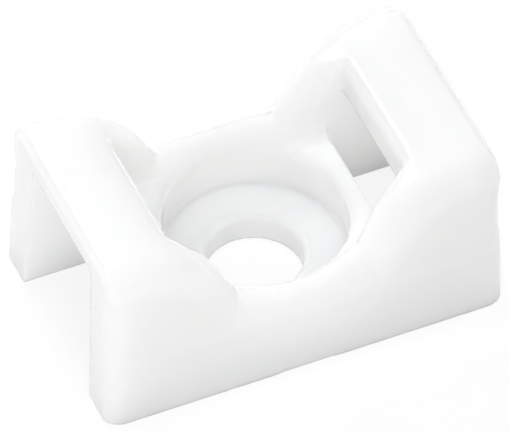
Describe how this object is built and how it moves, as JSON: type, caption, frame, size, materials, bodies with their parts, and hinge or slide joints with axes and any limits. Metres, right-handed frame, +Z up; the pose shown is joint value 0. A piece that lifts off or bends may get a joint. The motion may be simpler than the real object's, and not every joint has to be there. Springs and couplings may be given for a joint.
{
  "type": "cable tie mount",
  "caption": "Moulded saddle that a screw holds down, with a cable cradle between two arched bridges that a flat tie passes under.",
  "frame": {"origin": "centre of the seating face, on the screw hole's axis", "axes": "+X along the tie, from bridge to bridge, +Y along the cables, +Z up from the seating face out of the screw hole"},
  "size_m": [0.0156, 0.0094, 0.0073],
  "materials": {
    "nylon": "satin natural nylon, slightly translucent"
  },
  "bodies": {
    "root": {"mount_body": "nylon"}
  },
  "joints": []
}
